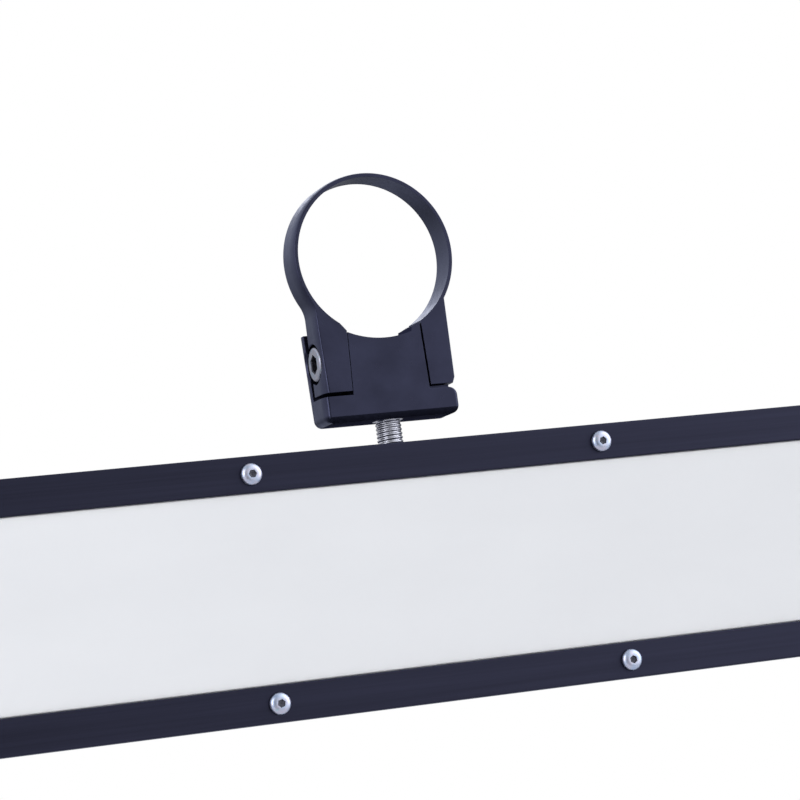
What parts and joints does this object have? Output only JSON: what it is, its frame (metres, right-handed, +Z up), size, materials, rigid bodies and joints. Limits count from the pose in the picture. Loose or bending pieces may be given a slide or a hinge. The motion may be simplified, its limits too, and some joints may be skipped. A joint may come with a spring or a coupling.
{
  "type": "light bar",
  "caption": "Framed LED light bar that hangs under a round tube from a split ring clamp and swivels on the clamp's threaded stud.",
  "frame": {"origin": "on the axis of the tube that the ring holds, straight above the stud", "axes": "+X along the bar to the right seen from the lit side, +Y along the tube away from the lit side, +Z up"},
  "size_m": [0.46, 0.0263, 0.2002],
  "materials": {
    "black_anodised": "satin blue-black anodised aluminium",
    "black_rail": "black anodised extrusion, drawn along its length",
    "black_bezel": "black anodised flat bar, faintly brushed along its length",
    "zinc_plated": "bright zinc plated steel",
    "stainless": "plain stainless steel",
    "opal_acrylic": "opal acrylic sheet, satin face, light off",
    "white_film": "white reflector film",
    "led_board": "white solder mask with LED packages",
    "foam_rubber": "black closed-cell foam",
    "inlet_plastic": "black moulded plastic",
    "lead_jacket": "wire insulation"
  },
  "bodies": {
    "clamp": {"clamp_ring": "black_anodised", "clamp_block": "black_anodised"},
    "clamp_screw": {"clamp_screw": "zinc_plated"},
    "light_bar": {"mounting_stud": "stainless", "top_rail": "black_rail", "bottom_rail": "black_rail", "left_rail": "black_rail", "right_rail": "black_rail", "top_bezel": "black_bezel", "bottom_bezel": "black_bezel", "left_bezel": "black_bezel", "right_bezel": "black_bezel", "diffuser": "opal_acrylic", "gasket": "foam_rubber", "reflector": "white_film", "back_plate": "black_rail", "dc_inlet": "inlet_plastic", "dc_inlet_nut": "zinc_plated", "led_board_1": "led_board", "led_board_2": "led_board", "led_board_3": "led_board", "supply_lead_upper": "lead_jacket", "supply_lead_lower": "lead_jacket", "board_jumper_1": "lead_jacket", "bezel_screw_top_1": "zinc_plated", "bezel_screw_top_2": "zinc_plated", "bezel_screw_top_3": "zinc_plated", "bezel_screw_top_4": "zinc_plated", "bezel_screw_bottom_1": "zinc_plated", "bezel_screw_bottom_2": "zinc_plated", "bezel_screw_bottom_3": "zinc_plated", "bezel_screw_bottom_4": "zinc_plated", "bezel_screw_left": "zinc_plated", "bezel_screw_right": "zinc_plated", "back_screw_top_1": "stainless", "back_screw_top_2": "stainless", "back_screw_top_3": "stainless", "back_screw_bottom_1": "stainless", "back_screw_bottom_2": "stainless", "back_screw_bottom_3": "stainless", "back_screw_left": "stainless", "back_screw_right": "stainless", "corner_screw_top_left": "stainless", "corner_screw_top_right": "stainless", "corner_screw_bottom_left": "stainless", "corner_screw_bottom_right": "stainless"}
  },
  "joints": [
    {"name": "clamp_screw_turn", "type": "hinge", "parent": "clamp", "child": "clamp_screw", "pos_m": [-0.0183, 0, -0.0383], "axis": [1, 0, 0], "range_deg": [-720, 230]},
    {"name": "bar_swivel", "type": "hinge", "parent": "clamp", "child": "light_bar", "pos_m": [0, 0, -0.0712], "axis": [0, 0, 1], "range_deg": [-180, 180]}
  ]
}
